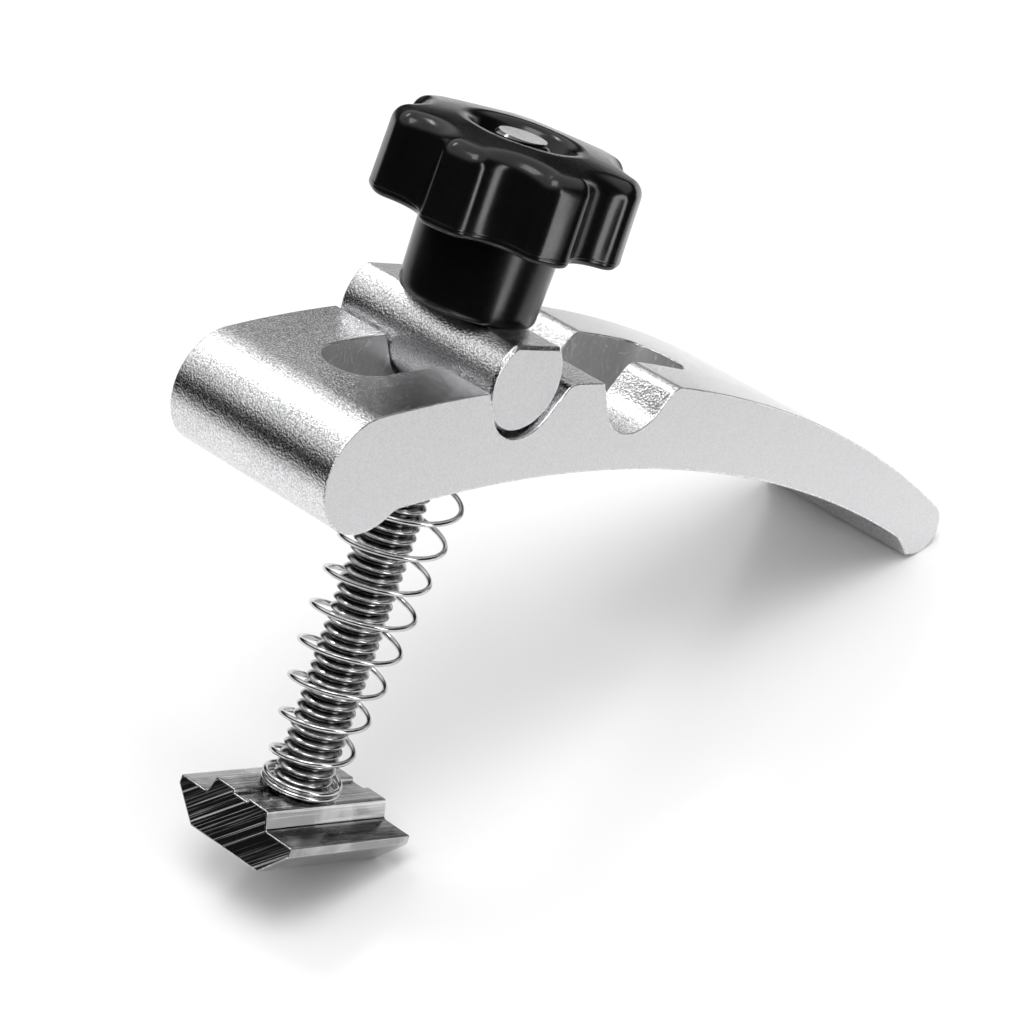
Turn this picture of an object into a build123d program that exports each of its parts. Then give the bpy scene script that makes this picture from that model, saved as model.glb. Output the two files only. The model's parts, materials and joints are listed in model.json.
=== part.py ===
from build123d import *
import math
import os

# Hold-down clamp for a T-track, in millimetres, +Z up.
# It stands the way it rests on a bench: on the lower end edge of its T-nut and on
# the nose of its toe. The origin is the middle of the footprint, on the bench.
# The arm has its own axes: x along the seats towards the toe, z square to them.
# The screw has its own axes too: z up the stud, square to the barrel's flat.
# Both sets start on the axis of the barrel, where the two meet.

os.makedirs("parts", exist_ok=True)

# Arm: one curved aluminium bar, sawn from an extruded length
arm_width = 28.0
arm_top_radius = 207.0        # one arc along the whole back
arm_rise = 0.13               # crest of the back above the barrel's axis
arm_thickness = 12.55         # at the crest of the arch
arch_radius = 212.0           # one arc along the whole underside
arch_crest = 21.0             # place of the arch's crest, from the first seat
heel_reach = 33.1             # first seat to the end of the heel
heel_radius = 8.0             # round bulb at the heel
heel_root_fillet = 3.0        # between the bulb and the arch
toe_reach = 106.05            # first seat to the end of the toe
nose_radius = 4.0             # round nose of the toe
foot_flat = 2.05              # narrow flat behind the nose
foot_slope = 39.0             # degrees, the foot's inner face
foot_root_fillet = 1.0
slot_width = 10.0
slot_behind = 22.0            # first seat to the slot's end at the heel
slot_ahead = 46.5             # first seat to the slot's end at the toe
slot_offset = -0.3            # slot's middle from the arm's middle

# Seats: two round troughs with flared mouths, across the arm
seat_pitch = 23.0
seat_radius = 6.2
seat_mouth_angle = 33.0       # degrees off upright, each flared wall
seat_back_lip = 0.4           # lip on the heel's side, nearly sharp
seat_front_lip = 2.2          # lip on the toe's side, well rounded

# Barrel: the cross bar that tilts in a seat and carries the knob
barrel_radius = 6.7           # bears on a seat's flared walls, clear of its floor
barrel_length = 27.7
barrel_offset = 0.35          # barrel's middle from the stud, to the back
barrel_chamfer = 0.45
barrel_flat_height = 5.1      # flat above the barrel's axis
barrel_clearance = 0.06       # to the flared walls
barrel_bore_clearance = 0.35  # radial, round the stud
side_play = 0.15              # the screw sits this far to the back of the arm's middle

# Stud: 5/16 inch, 18 turns per inch, threaded from end to end
stud_radius = 3.97
stud_top = 28.2               # end of the stud above the barrel's axis
stud_end_chamfer = 0.75
stud_lean = 2.05              # degrees, towards the toe, off the arm's upright
thread_pitch = 25.4 / 18
thread_crest = thread_pitch / 8
thread_root_radius = 3.16
thread_clearance = 0.05       # radial, in the nut and in the insert

# T-nut: a sawn length of T-section bar
nut_length = 23.5
nut_offset = 0.75             # nut's middle from the stud, towards the toe
nut_neck_top = 64.0           # below the barrel's axis, along the stud
nut_neck_half_width = 4.9
nut_neck_flare = 0.8          # each side, from the neck's top to its foot
nut_neck_height = 2.5
nut_neck_fillet = 0.5
nut_half_width = 10.6
nut_side = 1.3                # upright side of the flange
nut_depth = 8.0               # neck top to the bottom face
nut_bottom_half_width = 6.5
nut_groove_width = 2.8        # shallow groove along the neck's top
nut_groove_depth = 0.5
stud_end_inset = 0.6          # stud's lower end above the nut's bottom face

# Knob: moulded, seven lobes on a round hub
lobe_count = 7
lobe_radius = 16.86           # over the lobes, at the parting line
lobe_corner = 2.6
lobe_turn = -10.5             # degrees, one lobe's direction from the toe
scallop_radius = 5.35
scallop_depth = 2.86          # from the lobes' circle to the valleys
knob_gap = 0.05               # knob's running gap on the barrel's flat
hub_radius = 9.15             # at its foot
hub_height = 11.2             # hub's foot to the underside of the lobes
hub_draft = 1.5               # degrees
hub_foot_fillet = 1.0
head_height = 12.6            # underside of the lobes to the top of the dome
head_draft = 1.1              # degrees
head_top_fillet = 2.35
head_foot_fillet = 0.8
dome_drop = 1.55              # fall of the domed top over the lobes
bowl_radius = 7.25            # rim of the bowl round the stud's end
bowl_floor_radius = 5.6
bowl_depth = 4.2
bowl_rim_fillet = 0.5

# Insert: the knob's threaded bush, moulded in
insert_radius = 5.2
insert_waist_radius = 4.75
insert_waist_height = 4.0
insert_fit = 0.02

# Spring: round wire, wide at the arm and narrow at the nut
wire_radius = 0.38
spring_top_radius = 6.69      # to the wire's middle
spring_foot_radius = 5.08
spring_taper = 24.6           # height over which it widens, from the nut
spring_foot_turns = 1.63      # closed turns at the nut
spring_free_turns = 9.19
spring_top_turns = 1.0        # closed turn under the arm
spring_end_gap = 0.12         # at the nut and at the arm
spring_coil_gap = 0.06        # between closed turns
spring_foot_angle = 89.3      # degrees, where the wire starts at the nut
spring_drift = (1.04, -1.87)  # the loose spring's lean at the arm, in x and y
spring_bow = (-0.59, 0.40)    # its bow at half its height, in x and y
spring_dip = 0.096            # slope of its turns at half its height, against the arm's
spring_points = 12            # guide points in each turn of the wire

cutter_reach = 60.0           # cutting shapes run this far, past all that they cut

# Points of the arm's side outline, in the arm's axes
mouth = math.radians(seat_mouth_angle)
seat_drop = (barrel_radius + barrel_clearance - seat_radius) / math.sin(mouth)
back_crest = seat_pitch / 2
back_centre = Vector(back_crest, arm_rise - arm_top_radius)
arch_centre = Vector(arch_crest, arm_rise - arm_thickness - arch_radius)


def under_back(x, radius):
    """Centre of a circle at x that touches the back from inside."""
    run = x - back_centre.X
    return Vector(x, back_centre.Y + math.sqrt((arm_top_radius - radius) ** 2 - run**2))


def back_touch(centre):
    """Point of the back that such a circle touches."""
    return back_centre + (centre - back_centre).normalized() * arm_top_radius


def arch_meets_circle(centre, radius):
    """Higher-x crossing of the arch with a circle."""
    span = centre - arch_centre
    along = (arch_radius**2 - radius**2 + span.length**2) / (2 * span.length)
    across = math.sqrt(arch_radius**2 - along**2)
    unit = span.normalized()
    return arch_centre + unit * along + Vector(unit.Y, -unit.X) * across


def arch_meets_line(start, angle):
    """Crossing of the arch with a line that leaves a point below it at an angle."""
    step = Vector(math.cos(math.radians(angle)), math.sin(math.radians(angle)))
    gap = start - arch_centre
    half = gap.dot(step)
    reach = -half + math.sqrt(half**2 - gap.length**2 + arch_radius**2)
    return start + step * reach


def arch_height(x):
    """Height of the arch at x, in the arm's axes."""
    return arch_centre.Y + math.sqrt(arch_radius**2 - (x - arch_centre.X) ** 2)


heel_centre = under_back(heel_radius - heel_reach, heel_radius)
nose_centre = under_back(toe_reach - nose_radius, nose_radius)
foot_corner = nose_centre + Vector(-foot_flat, -nose_radius)
foot_root = arch_meets_line(foot_corner, 180 - foot_slope)
heel_root = arch_meets_circle(heel_centre, heel_radius)

# The pose at rest: the nut's lower end edge and the nose reach the bench together
nut_bottom = nut_neck_top + nut_depth
lean = math.radians(stud_lean)
nut_toe_end = nut_length / 2 + nut_offset
nut_heel_end = nut_length / 2 - nut_offset
nut_edge = Vector(
    nut_toe_end * math.cos(lean) - nut_bottom * math.sin(lean),
    -nut_toe_end * math.sin(lean) - nut_bottom * math.cos(lean),
)
stance = nose_centre - nut_edge
arm_pitch = math.atan2(stance.Y, stance.X) - math.asin(nose_radius / stance.length)
stud_pitch = arm_pitch + lean


def turned(x, z, pitch):
    """Place of x along and z up, after the nose-down pitch, from the barrel's axis."""
    return Vector(
        x * math.cos(pitch) + z * math.sin(pitch),
        0,
        z * math.cos(pitch) - x * math.sin(pitch),
    )


nose_place = turned(nose_centre.X, nose_centre.Y, arm_pitch)
nut_place = turned(-nut_heel_end, -nut_bottom, stud_pitch)
barrel_axis = Vector(
    -(nose_place.X + nose_radius + nut_place.X) / 2,
    0,
    nose_radius - nose_place.Z,
)
arm_along = turned(1, 0, arm_pitch)
arm_up = turned(0, 1, arm_pitch)
stud_along = turned(1, 0, stud_pitch)
stud_up = turned(0, 1, stud_pitch)

arm_middle = barrel_axis - Vector(0, side_play, 0)
arm_side = Plane(origin=arm_middle, x_dir=arm_along, z_dir=(0, -1, 0))
arm_top = Plane(origin=arm_middle, x_dir=arm_along, z_dir=arm_up)
screw_side = Plane(origin=barrel_axis, x_dir=stud_along, z_dir=(0, -1, 0))
nut_across = Plane(origin=barrel_axis + stud_along * nut_offset, x_dir=(0, 1, 0),
                   z_dir=stud_along)
screw_base = Plane(origin=barrel_axis, x_dir=stud_along, z_dir=stud_up)
screw_axis = Axis(barrel_axis, stud_up)


def arc_about(centre, radius, start, end):
    """Short arc about a centre, from one point to another."""
    middle = ((start + end) / 2 - centre).normalized() * radius + centre
    return ThreePointArc(start, middle, end)


# Clamp arm
slot_length = slot_behind + slot_ahead
slot_middle = (slot_ahead - slot_behind) / 2
mouth_foot = Vector(0, -seat_drop) + Vector(math.cos(mouth), -math.sin(mouth)) * seat_radius
mouth_top = mouth_foot + Vector(math.sin(mouth), math.cos(mouth)) * seat_radius * 2
mouth_width = mouth_foot.X + (arm_rise - mouth_foot.Y) * math.tan(mouth)
heel_far = heel_centre - Vector(heel_radius, 0)

with BuildPart() as clamp_arm:
    with BuildSketch(arm_side) as arm_outline:
        with BuildLine():
            arc_about(back_centre, arm_top_radius, back_touch(heel_centre),
                      back_touch(nose_centre))
            arc_about(nose_centre, nose_radius, back_touch(nose_centre),
                      nose_centre - Vector(0, nose_radius))
            Line(nose_centre - Vector(0, nose_radius), foot_corner)
            Line(foot_corner, foot_root)
            arc_about(arch_centre, arch_radius, foot_root, heel_root)
            arc_about(heel_centre, heel_radius, heel_root, heel_far)
            arc_about(heel_centre, heel_radius, heel_far, back_touch(heel_centre))
        make_face()
        fillet(arm_outline.vertices().sort_by_distance(heel_root)[0], heel_root_fillet)
        fillet(arm_outline.vertices().sort_by_distance(foot_root)[0], foot_root_fillet)
    extrude(amount=arm_width / 2, both=True)
    for seat_place in (0, seat_pitch):
        seat_middle = arm_middle + arm_along * seat_place
        with BuildSketch(Plane(origin=seat_middle, x_dir=arm_along, z_dir=(0, -1, 0))):
            with BuildLine():
                CenterArc((0, -seat_drop), seat_radius, seat_mouth_angle - 180,
                          180 - 2 * seat_mouth_angle)
                Line(mouth_foot, mouth_top)
                Line(mouth_top, (-mouth_top.X, mouth_top.Y))
                Line((-mouth_top.X, mouth_top.Y), (-mouth_foot.X, mouth_foot.Y))
            make_face()
        extrude(amount=cutter_reach, both=True, mode=Mode.SUBTRACT)
        for side, lip in ((-1, seat_back_lip), (1, seat_front_lip)):
            beside = seat_middle + arm_along * side * mouth_width + arm_up * arm_rise
            across_arm = clamp_arm.edges().filter_by(Axis.Y)
            fillet(across_arm.sort_by_distance(beside)[0], lip)
    with BuildSketch(arm_top):
        with Locations((slot_middle, slot_offset)):
            SlotOverall(slot_length, slot_width)
    extrude(amount=cutter_reach, both=True, mode=Mode.SUBTRACT)
clamp_arm.part.label = "clamp_arm"
export_step(clamp_arm.part, "parts/clamp_arm.step")

# Pivot barrel
with BuildPart() as pivot_barrel:
    with BuildSketch(screw_side.offset(-barrel_offset)):
        Circle(barrel_radius)
    extrude(amount=barrel_length / 2, both=True)
    chamfer(pivot_barrel.edges().filter_by(GeomType.CIRCLE), barrel_chamfer)
    with BuildSketch(screw_base.offset(barrel_flat_height)):
        Rectangle(cutter_reach, cutter_reach)
    extrude(amount=cutter_reach, mode=Mode.SUBTRACT)
    with BuildSketch(screw_base):
        Circle(stud_radius + barrel_bore_clearance)
    extrude(amount=cutter_reach, both=True, mode=Mode.SUBTRACT)
pivot_barrel.part.label = "pivot_barrel"
export_step(pivot_barrel.part, "parts/pivot_barrel.step")

# Stud: its thread stands as rings at the thread's pitch, the same all round
stud_foot = nut_bottom - stud_end_inset
ring_first = -stud_foot + stud_end_chamfer
ring_count = int((stud_foot + stud_top - 2 * stud_end_chamfer) / thread_pitch)
ring_corners = [
    corner
    for ring in range(ring_count)
    for corner in (
        (stud_radius, ring_first + ring * thread_pitch),
        (stud_radius, ring_first + ring * thread_pitch + thread_crest),
        (thread_root_radius, ring_first + (ring + (1 + 1 / 8) / 2) * thread_pitch),
    )
]
with BuildPart() as stud:
    with BuildSketch(screw_side):
        with BuildLine():
            Polyline(
                (0, -stud_foot),
                (stud_radius - stud_end_chamfer, -stud_foot),
                *ring_corners,
                (stud_radius, ring_first + ring_count * thread_pitch),
                (stud_radius, stud_top - stud_end_chamfer),
                (stud_radius - stud_end_chamfer, stud_top),
                (0, stud_top),
                close=True,
            )
        make_face()
    revolve(axis=screw_axis)
stud.part.label = "stud"
export_step(stud.part, "parts/stud.step")

# T-nut: its section across the stud, drawn with y to the side and z down the stud
nut_shelf = nut_neck_top + nut_neck_height
nut_neck_foot = nut_neck_half_width + nut_neck_flare
with BuildPart() as t_nut:
    with BuildSketch(nut_across) as nut_section:
        with BuildLine():
            half = Polyline(
                (0, -nut_neck_top),
                (nut_neck_half_width, -nut_neck_top),
                (nut_neck_foot, -nut_shelf),
                (nut_half_width, -nut_shelf),
                (nut_half_width, -nut_shelf - nut_side),
                (nut_bottom_half_width, -nut_bottom),
                (0, -nut_bottom),
            )
            mirror(half, about=Plane.YZ)
        make_face()
        with Locations((0, -nut_neck_top)):
            Rectangle(nut_groove_width, nut_groove_depth * 2, mode=Mode.SUBTRACT)
        for side in (-1, 1):
            neck_root = (side * nut_neck_foot, -nut_shelf)
            corners = nut_section.vertices()
            beside = nut_across.from_local_coords(Vector(*neck_root))
            fillet(corners.sort_by_distance(beside)[0], nut_neck_fillet)
    extrude(amount=nut_length / 2, both=True)
    with BuildSketch(screw_base.offset(-nut_neck_top)):
        Circle(stud_radius + thread_clearance)
    extrude(amount=nut_depth, both=True, mode=Mode.SUBTRACT)
t_nut.part.label = "t_nut"
export_step(t_nut.part, "parts/t_nut.step")

# Knob: hub, lobed head with a domed top, bowl round the stud's end
knob_foot = barrel_flat_height + knob_gap
lobes_foot = knob_foot + hub_height
knob_top = lobes_foot + head_height
bowl_floor = knob_top - bowl_depth
scallop_floor = lobe_radius - scallop_depth
dome_radius = (lobe_radius**2 + dome_drop**2) / (2 * dome_drop)
dome_edge = Vector(lobe_radius, knob_top - dome_drop)
head_outside = lobe_radius + dome_drop
bowl_rim = Vector(
    bowl_radius,
    knob_top - dome_radius + math.sqrt(dome_radius**2 - bowl_radius**2),
)
lobe_step = 360 / lobe_count
insert_length = bowl_floor - knob_foot
insert_middle = knob_foot + insert_length / 2


def insert_outline(fit):
    """Half section of the bush, grown all round by a fit, as radius and height."""
    waist_foot = insert_middle - insert_waist_height / 2 + fit
    waist_top = insert_middle + insert_waist_height / 2 - fit
    return Polyline(
        (0, knob_foot - fit),
        (insert_radius + fit, knob_foot - fit),
        (insert_radius + fit, waist_foot),
        (insert_waist_radius + fit, waist_foot),
        (insert_waist_radius + fit, waist_top),
        (insert_radius + fit, waist_top),
        (insert_radius + fit, bowl_floor + fit),
        (0, bowl_floor + fit),
        close=True,
    )


with BuildPart() as knob:
    with BuildSketch(screw_base.offset(lobes_foot)) as lobes:
        Circle(lobe_radius)
        with PolarLocations(scallop_floor + scallop_radius, lobe_count,
                            start_angle=lobe_turn + lobe_step / 2):
            Circle(scallop_radius, mode=Mode.SUBTRACT)
        fillet(lobes.vertices(), lobe_corner)
    extrude(amount=head_height)
    draft(knob.faces().filter_by(GeomType.CYLINDER),
          neutral_plane=screw_base.offset(lobes_foot), angle=head_draft)
    with BuildSketch(screw_side) as head_section:
        with BuildLine():
            Polyline(dome_edge, (head_outside, dome_edge.Y),
                     (head_outside, lobes_foot), (0, lobes_foot),
                     (0, bowl_floor), (bowl_floor_radius, bowl_floor), bowl_rim)
            arc_about(Vector(0, knob_top - dome_radius), dome_radius, bowl_rim, dome_edge)
        make_face()
        rim_place = screw_side.from_local_coords(bowl_rim)
        fillet(head_section.vertices().sort_by_distance(rim_place)[0], bowl_rim_fillet)
    revolve(axis=screw_axis, mode=Mode.INTERSECT)
    over_lobes = screw_side.from_local_coords(Vector(scallop_floor, knob_top))
    dome = knob.faces().sort_by_distance(over_lobes)[0]
    fillet(dome.outer_wire().edges(), head_top_fillet)
    underside = knob.faces().sort_by(screw_axis)[0]
    fillet(underside.edges(), head_foot_fillet)
    with BuildSketch(screw_base.offset(lobes_foot)):
        Circle(hub_radius + hub_height * math.tan(math.radians(hub_draft)))
    extrude(amount=-hub_height, taper=hub_draft)
    hub_end = knob.faces().sort_by(screw_axis)[0]
    fillet(hub_end.edges(), hub_foot_fillet)
    with BuildSketch(screw_side):
        with BuildLine():
            insert_outline(insert_fit)
        make_face()
    revolve(axis=screw_axis, mode=Mode.SUBTRACT)
knob.part.label = "knob"
export_step(knob.part, "parts/knob.step")

# Threaded insert
with BuildPart() as knob_insert:
    with BuildSketch(screw_side):
        with BuildLine():
            insert_outline(0)
        make_face()
    revolve(axis=screw_axis)
    with BuildSketch(screw_base):
        Circle(stud_radius + thread_clearance)
    extrude(amount=knob_top, mode=Mode.SUBTRACT)
knob_insert.part.label = "knob_insert"
export_step(knob_insert.part, "parts/knob_insert.step")

# Spring: closed turns at both ends, the top one along the arm's underside
stud_at_arch = Vector(-(arm_thickness - arm_rise) * math.sin(lean), 0)
arch_slope = math.asin((arch_centre.X - stud_at_arch.X) / arch_radius) + lean
spring_foot = -nut_neck_top + spring_end_gap + wire_radius
arch_mark = Vector(0, arch_height(stud_at_arch.X))
arch_sag = spring_top_radius**2 / (2 * arch_radius)
spring_head = arch_mark.Y * math.cos(lean) - spring_end_gap - arch_sag - wire_radius
closed_rise = 2 * wire_radius + spring_coil_gap
free_rise = (
    spring_head - spring_foot
    - closed_rise * (spring_foot_turns + spring_top_turns)
) / spring_free_turns
spring_turns = spring_foot_turns + spring_free_turns + spring_top_turns


def eased(share):
    """Smooth step from 0 to 1."""
    held = min(max(share, 0), 1)
    return held * held * (3 - 2 * held)


def spring_height(turn):
    """Height of the wire's middle after so many turns from the nut."""
    free = min(max(turn - spring_foot_turns, 0), spring_free_turns)
    return spring_foot + closed_rise * (turn - free) + free_rise * free


def spring_place(turn):
    """Wire's middle in the screw's axes: a cone, then a cylinder, leaning and bowed."""
    height = spring_height(turn)
    up = height - spring_foot
    share = up / (spring_head - spring_foot)
    bow = math.sin(math.pi * share)
    radius = spring_foot_radius + (spring_top_radius - spring_foot_radius) * eased(
        up / spring_taper
    )
    angle = math.radians(spring_foot_angle) + math.tau * turn
    x = radius * math.cos(angle) + spring_drift[0] * share + spring_bow[0] * bow
    y = radius * math.sin(angle) + spring_drift[1] * share + spring_bow[1] * bow
    slope = math.tan(arch_slope) * share**3 - spring_dip * bow
    return screw_base.from_local_coords(Vector(x, y, height + x * slope))


with BuildPart() as spring:
    with BuildLine() as wire_path:
        steps = round(spring_turns * spring_points)
        Spline(*[spring_place(step * spring_turns / steps) for step in range(steps + 1)])
    with BuildSketch(Plane(origin=wire_path.line @ 0, z_dir=wire_path.line % 0)):
        Circle(wire_radius)
    sweep(is_frenet=True)
spring.part.label = "spring"
export_step(spring.part, "parts/spring.step")
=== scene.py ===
import json
import math

import bmesh
import bpy
import numpy as np
from mathutils import Matrix, Vector


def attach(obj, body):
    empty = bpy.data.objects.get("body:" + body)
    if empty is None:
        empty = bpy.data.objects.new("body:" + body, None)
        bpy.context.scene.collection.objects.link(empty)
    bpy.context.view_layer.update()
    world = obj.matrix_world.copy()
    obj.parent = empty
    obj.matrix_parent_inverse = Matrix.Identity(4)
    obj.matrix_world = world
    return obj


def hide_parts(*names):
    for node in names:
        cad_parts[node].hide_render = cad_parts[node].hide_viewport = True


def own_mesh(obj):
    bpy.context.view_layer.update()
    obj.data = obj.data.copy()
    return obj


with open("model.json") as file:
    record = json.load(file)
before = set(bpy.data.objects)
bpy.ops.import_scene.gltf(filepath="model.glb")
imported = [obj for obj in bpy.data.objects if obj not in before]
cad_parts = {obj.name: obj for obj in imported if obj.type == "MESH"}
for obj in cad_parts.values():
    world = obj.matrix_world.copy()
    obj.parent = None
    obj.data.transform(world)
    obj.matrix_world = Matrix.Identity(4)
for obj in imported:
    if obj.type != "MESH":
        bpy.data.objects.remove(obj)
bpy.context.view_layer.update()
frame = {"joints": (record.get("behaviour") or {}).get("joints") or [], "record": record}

# Hold-down clamp for a T-track. Shapes are worked out in millimetres, in the axes of
# the arm or of the screw, and go into the meshes in metres, in the frame of the row.

record = frame["record"]
joints = {joint["name"]: joint for joint in frame["joints"]}
mounts = {mount["name"]: mount for mount in record["mounts"]}
METRES = 0.001
WELD, SLIVER = 1.5e-6, 1e-7     # metres: grids are joined, and needle faces go

# Sizes, in millimetres and degrees. They are the solids' own, apart from the small
# rounds and the parting line of the knob, which follow the photograph more closely

# Arm, from the barrel's axis: +x to the toe, +z square to the foot
arm_half_width = 14.0
back_radius = 207.0
back_rise = 0.13                # crest of the back, over the barrel's axis
arch_radius = 212.0
arch_crest = 21.0
arm_thickness = 12.55
heel_reach = 33.1
heel_radius = 8.0
heel_root_radius = 3.0
toe_reach = 106.05
nose_radius = 4.0
foot_flat = 2.05
foot_slope = 39.0
foot_root_radius = 1.0
slot_half_width = 5.0
slot_behind = 22.0
slot_ahead = 46.5
slot_offset = -0.3
seat_pitch = 23.0
seat_radius = 6.2
seat_drop = 1.028               # middle of a seat, under the barrel's axis
mouth_angle = 33.0              # lean of a seat's walls, which hold the barrel
back_lip = 0.4
front_lip = 2.2
side_play = 0.15                # middle of the arm, beside the stud's axis

# Barrel, stud, T-nut and knob, from the barrel's axis: +z up the stud
barrel_radius = 6.7
barrel_sides = (-13.5, 14.2)
barrel_flat = 5.1
barrel_bore = 4.32
barrel_chamfer = 0.45

stud_radius = 3.97
stud_root = 3.16
stud_pitch = 25.4 / 18
stud_top = 28.2
stud_foot = -71.4
stud_end_radius = 3.22

nut_sides = (-12.5, 11.0)
nut_top = -64.0
nut_shelf = -66.5
nut_side_foot = -67.8
nut_bottom = -72.0
nut_bore = 4.02
nut_neck = 4.9
nut_neck_foot = 5.7
nut_neck_fillet = 0.5
nut_half_width = 10.6
nut_bottom_half_width = 6.5
nut_groove = 1.4
nut_groove_depth = 0.5
nut_groove_rounds = (0.12, 0.15)
nut_top_round = 0.2
nut_side_rounds = (0.25, 0.4)

knob_foot = 5.15
lobes_foot = 16.35
knob_top = 28.95
lobe_count = 7
lobe_radius = 16.86
lobe_corner = 2.6
lobe_turn = -10.5
scallop_radius = 5.35
scallop_floor = 14.0
hub_radius = 9.15
hub_draft = 1.5
hub_foot_round = 1.0
hub_root_round = 0.3
head_draft = 1.1
head_top_round = 2.25
head_round_start = 1.9          # under the dome's edge
head_foot_round = 0.8
parting_height = 1.05
parting_bead = 0.045
dome_drop = 1.55
bowl_radius = 7.25
bowl_floor_radius = 5.6
bowl_floor = 24.75
bowl_rim_round = 1.35
bowl_floor_round = 0.5
insert_radius = 5.2
insert_fit = 0.02
insert_waist = 4.75
waist_low, waist_high = 12.95, 16.95

wire_radius = 0.38
spring_top_radius = 6.69
spring_foot_radius = 5.08
spring_taper = 24.6             # height over which it widens
spring_foot_turns = 1.63
spring_free_turns = 9.19
spring_top_turns = 1.0
spring_end_gap = 0.12
spring_coil_gap = 0.06
spring_foot_angle = 89.3
spring_drift = (1.04, -1.87)    # lean of the loose spring at the arm
spring_bow = (-0.59, 0.40)      # its bow at half its height
spring_dip = 0.096              # slope of its turns there, against the arm's

# Broken edges, which are in no solid
arm_edge = 0.13
slot_edge = 0.18
nut_edge = 0.16
bore_edge = 0.12


class Axes:
    """Right-handed axes in the row frame: an origin in mm and three unit vectors."""

    def __init__(self, origin, along, across, up):
        self.origin = np.array(origin, float)
        self.turn = np.array([along, across, up], float)

    def place(self, points):
        """Row-frame points: origin plus each local coordinate times its unit vector."""
        return self.origin + np.asarray(points, float) @ self.turn


def unit(vector):
    """A vector divided by its length."""
    vector = np.array(vector, float)
    return vector / np.linalg.norm(vector)


def unit_rows(points):
    """Each row divided by its length."""
    return points / np.linalg.norm(points, axis=1)[:, None]


def revolved(radius, angle, height):
    """Points at a radius, a heading and a height: cosine, sine, height."""
    return np.stack(np.broadcast_arrays(radius * np.cos(angle), radius * np.sin(angle),
                                        height), -1)


barrel_axis = np.array(joints["pivot_tilt"]["pos_m"]) / METRES
screw_up = unit(joints["knob_spin"]["axis"])
arm_up = -unit(mounts["toe_foot"]["axis"])
across = np.array([0.0, 1.0, 0.0])
screw = Axes(barrel_axis, np.cross(across, screw_up), across, screw_up)
arm = Axes(barrel_axis - across * side_play, np.cross(across, arm_up), across, arm_up)
screw_cross = Axes(barrel_axis, across, np.cross(screw_up, across), screw_up)


# Meshes


def quads(rows, columns, close_rows=False, close_columns=False):
    """Corner numbers of a grid's quads: each cell joins its four neighbours."""
    row = np.arange(rows if close_rows else rows - 1)[:, None]
    column = np.arange(columns if close_columns else columns - 1)[None, :]
    below, beside = (row + 1) % rows, (column + 1) % columns
    corners = [row * columns + column, row * columns + beside,
               below * columns + beside, below * columns + column]
    return np.stack([np.broadcast_to(c, (row.size, column.size)) for c in corners],
                    -1).reshape(-1, 4)


def link(name, data):
    """A new object in the scene, at the origin."""
    made = bpy.data.objects.new(name, data)
    bpy.context.scene.collection.objects.link(made)
    return made


def piece(name, axes, patches, body, solid, materials, sharp=32.0):
    """One closed mesh from grids of points in the piece's own axes, which it keeps as
    the attribute local. Grids are joined along their shared rims. Faces of finish 1,
    the ends, are flat, and edges that turn by more than sharp degrees are sharp."""
    points, faces, finishes, first = [], [], [], 0
    for grid, finish, close_rows, close_columns in patches:
        rows, columns = grid.shape[:2]
        cells = quads(rows, columns, close_rows, close_columns)
        points.append(grid.reshape(-1, 3))
        faces.append(cells + first)
        finishes.append(np.full(len(cells), finish))
        first += rows * columns
    local = np.concatenate(points)
    mesh = bpy.data.meshes.new(name)
    mesh.from_pydata(axes.place(local) * METRES, [], np.concatenate(faces))
    mesh.attributes.new("local", "FLOAT_VECTOR", "POINT").data.foreach_set(
        "vector", local.astype(np.float32).ravel())
    mesh.polygons.foreach_set("material_index", np.concatenate(finishes).astype(np.int32))
    work = bmesh.new()
    work.from_mesh(mesh)
    bmesh.ops.remove_doubles(work, verts=work.verts, dist=WELD)
    bmesh.ops.dissolve_degenerate(work, edges=work.edges, dist=SLIVER)
    bmesh.ops.recalc_face_normals(work, faces=work.faces)
    work.to_mesh(mesh)
    work.free()
    finish = np.zeros(len(mesh.polygons), np.int32)
    mesh.polygons.foreach_get("material_index", finish)
    mesh.polygons.foreach_set("use_smooth", finish != 1)
    mesh.set_sharp_from_angle(angle=math.radians(sharp))
    for material in materials:
        mesh.materials.append(material)
    made = link(name, mesh)
    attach(made, body)
    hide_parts(solid)
    return made


def patch(*columns, finish=0, close_rows=False):
    """A grid whose columns are the given rows of points, with its finish number."""
    return np.stack(columns, 1), finish, close_rows, False


def ways(angle):
    """Unit steps at some angles: cosine and sine."""
    return np.stack([np.cos(angle), np.sin(angle)], -1)


def arc(centre, radius, start, end, steps):
    """Points on a circle between two angles in degrees, evenly spaced."""
    angle = np.radians(np.linspace(start, end, steps + 1))
    return np.array(centre) + radius * ways(angle)


def arc_to(centre, start, end, steps):
    """Points on the shorter circle arc from one point to another."""
    start, end = np.array(start) - centre, np.array(end) - centre
    first = math.atan2(start[1], start[0])
    sweep = (math.atan2(end[1], end[0]) - first + math.pi) % math.tau - math.pi
    return arc(centre, np.hypot(*start), math.degrees(first),
               math.degrees(first + sweep), steps)


def reach(start, step, centre, radius):
    """Place on a line that lies at a radius from a centre: root of a quadratic."""
    gap = np.array(start) - centre
    half = gap @ step
    return np.array(start) + step * (math.sqrt(half**2 - gap @ gap + radius**2) - half)


def round_corner(before, corner, after, radius, steps):
    """Arc of a radius that touches both lines of a corner."""
    before, corner, after = (np.array(p, float) for p in (before, corner, after))
    first, second = unit(before - corner), unit(after - corner)
    half = math.acos(np.clip(first @ second, -1, 1)) / 2
    centre = corner + unit(first + second) * radius / math.sin(half)
    run = radius / math.tan(half)
    return arc_to(centre, corner + first * run, corner + second * run, steps)


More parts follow.
